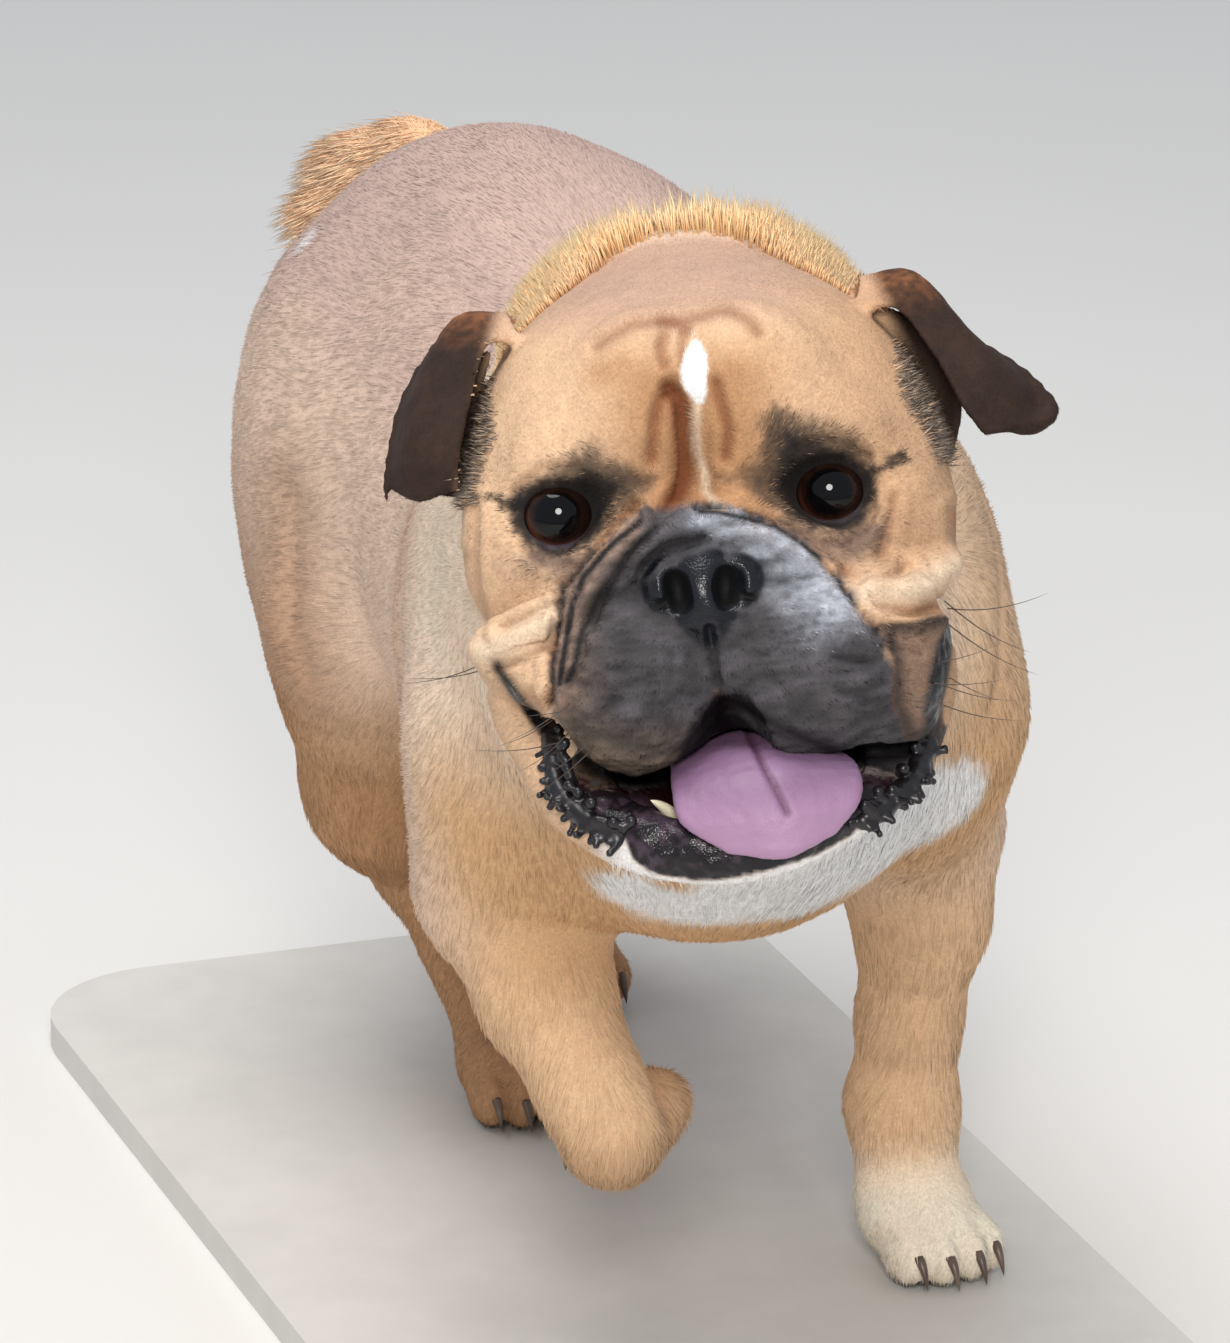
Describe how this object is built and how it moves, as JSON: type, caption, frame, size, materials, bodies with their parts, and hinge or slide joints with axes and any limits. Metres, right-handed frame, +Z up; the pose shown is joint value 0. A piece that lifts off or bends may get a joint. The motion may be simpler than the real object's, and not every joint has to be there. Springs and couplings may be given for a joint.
{
  "type": "english bulldog",
  "caption": "Life-size still model of an english bulldog in mid stride, with its right forepaw lifted, mouth open and tongue out, on a flat base.",
  "frame": {"origin": "under the middle of the whole, on the underside of the base", "axes": "-Y is the way the animal faces, +X is its left side, +Z is up"},
  "size_m": [0.349, 0.7738, 0.5055],
  "materials": {
    "tan_coat": "short tan fur",
    "back_coat": "short greyish tan fur",
    "dark_coat": "velvety dark brown fur",
    "eye": "wet and glossy",
    "tongue": "moist pink",
    "tooth_and_claw": "smooth ivory",
    "board": "matt painted board"
  },
  "bodies": {
    "root": {"torso": "back_coat", "neck": "tan_coat", "head": "tan_coat", "lower_jaw": "tan_coat", "ear_left": "dark_coat", "ear_right": "dark_coat", "eye_left": "eye", "eye_right": "eye", "tongue": "tongue", "tooth_canine": "tooth_and_claw", "leg_front_left": "tan_coat", "leg_front_right": "tan_coat", "leg_hind_left": "tan_coat", "leg_hind_right": "tan_coat", "tail": "tan_coat", "stand_base": "board"}
  },
  "joints": []
}
